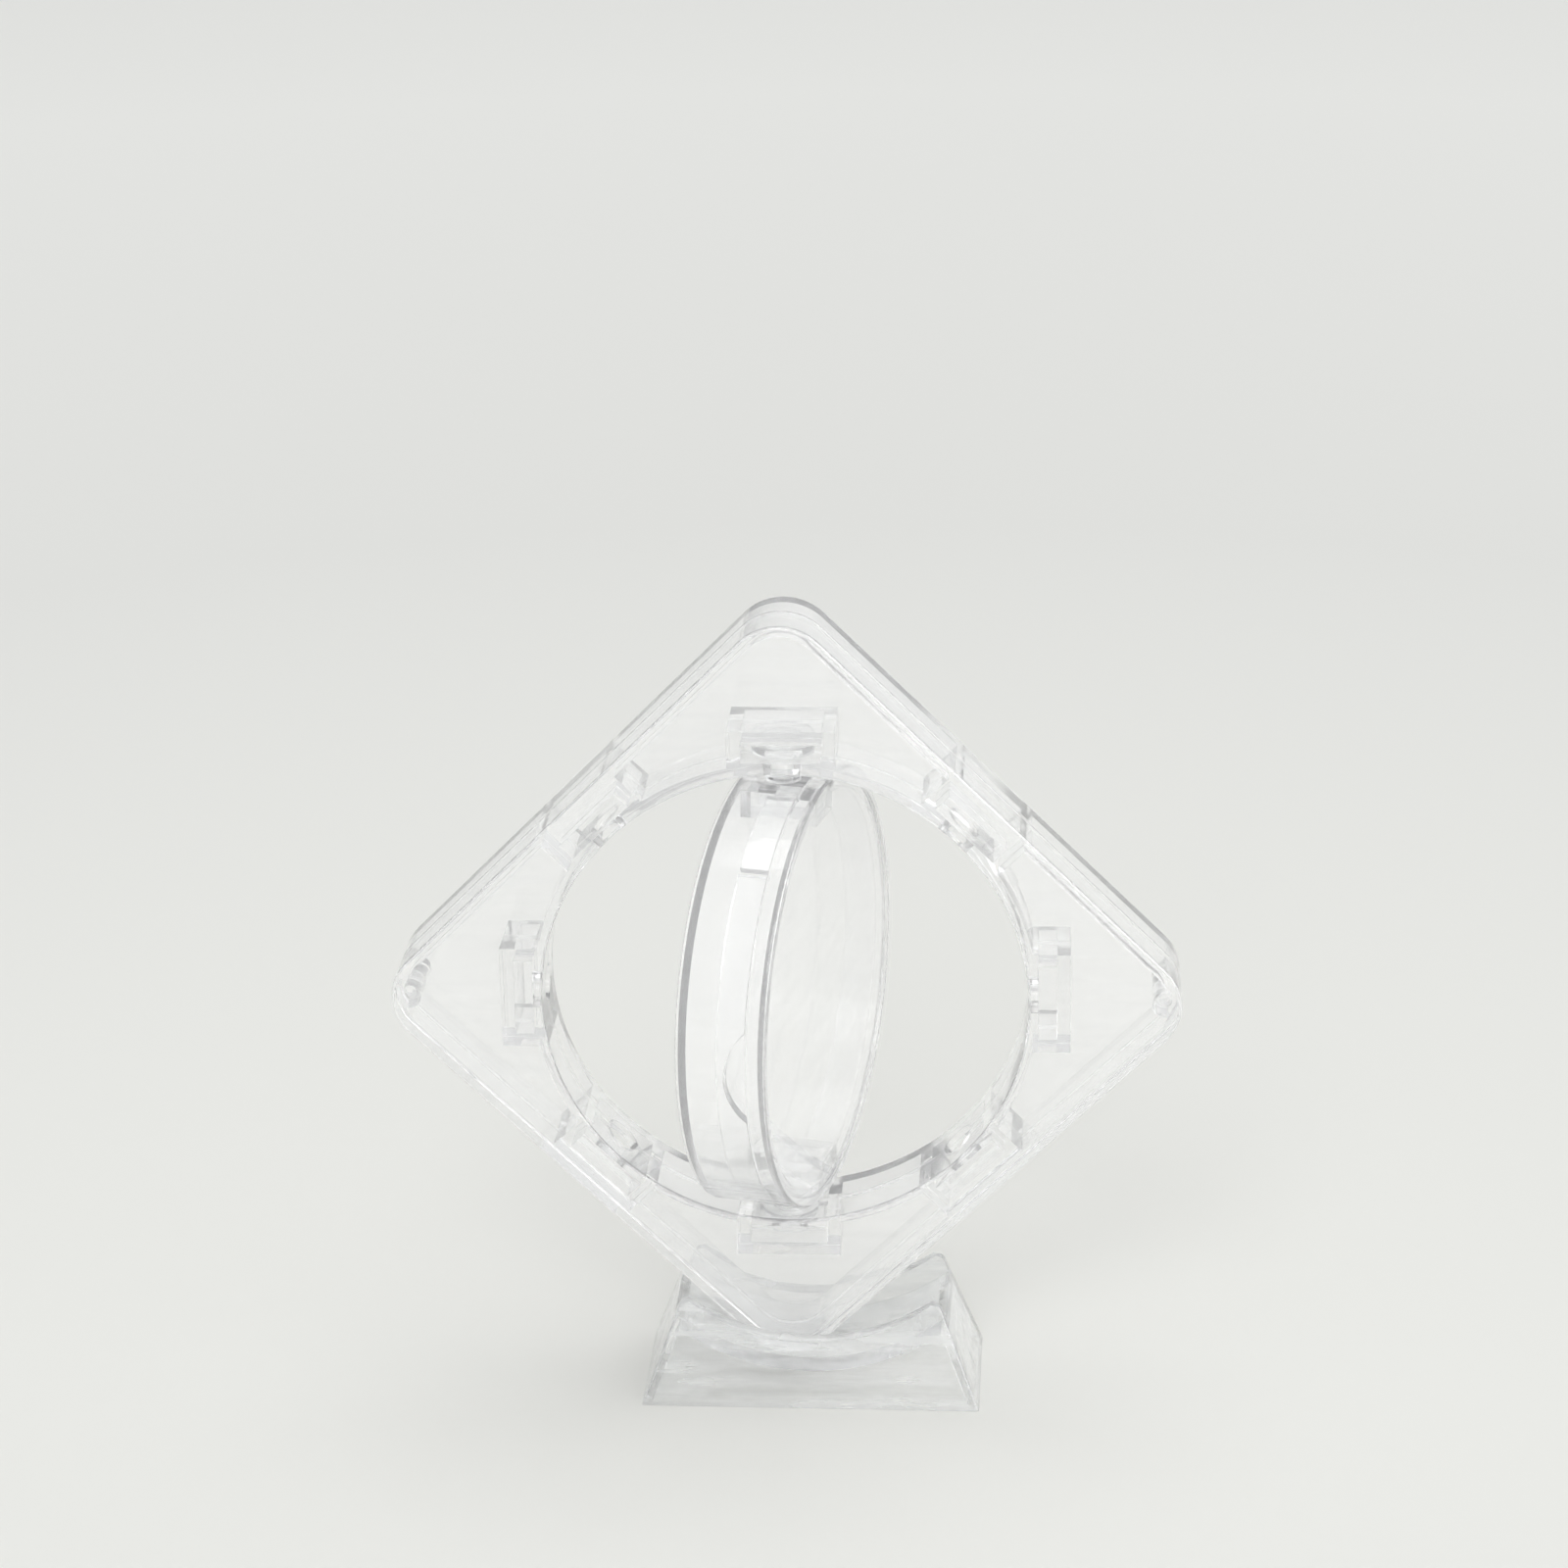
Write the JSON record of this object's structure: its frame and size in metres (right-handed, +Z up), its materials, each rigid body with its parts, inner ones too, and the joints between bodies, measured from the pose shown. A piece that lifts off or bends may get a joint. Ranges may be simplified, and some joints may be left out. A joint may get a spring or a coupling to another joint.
{
  "type": "turntable display stand",
  "caption": "Clear moulded square frame standing on its corner in a curved base, with a round lidded capsule that spins on vertical pivots in the frame's hole.",
  "frame": {"origin": "on the floor under the centre of the square frame", "axes": "+Z up, +X to the right along the frame as seen from the front, +Y to the back through the frame's thickness"},
  "size_m": [0.1204, 0.0688, 0.1277],
  "materials": {
    "base_clear": "clear water-white polystyrene, polished mould surface",
    "frame_clear": "clear water-white polystyrene, polished mould surface",
    "capsule_clear": "clear water-white polystyrene, polished mould surface",
    "pin_clear": "clear moulded plastic"
  },
  "bodies": {
    "base": {"stand_base": "base_clear"},
    "frame": {"frame_front_shell": "frame_clear", "frame_rear_shell": "frame_clear"},
    "capsule": {"capsule_cup": "capsule_clear", "upper_pivot_pin": "pin_clear", "lower_pivot_pin": "pin_clear"},
    "lid": {"capsule_lid": "capsule_clear"}
  },
  "joints": [
    {"name": "frame_lift", "type": "slide", "parent": "base", "child": "frame", "axis": [0, 0, 1], "range_m": [0, 0.03]},
    {"name": "capsule_spin", "type": "hinge", "parent": "frame", "child": "capsule", "pos_m": [0, 0, 0.06757], "axis": [0, 0, 1], "continuous": true},
    {"name": "lid_pull", "type": "slide", "parent": "capsule", "child": "lid", "axis": [0.9728, -0.2317, 0], "range_m": [0, 0.007]}
  ]
}
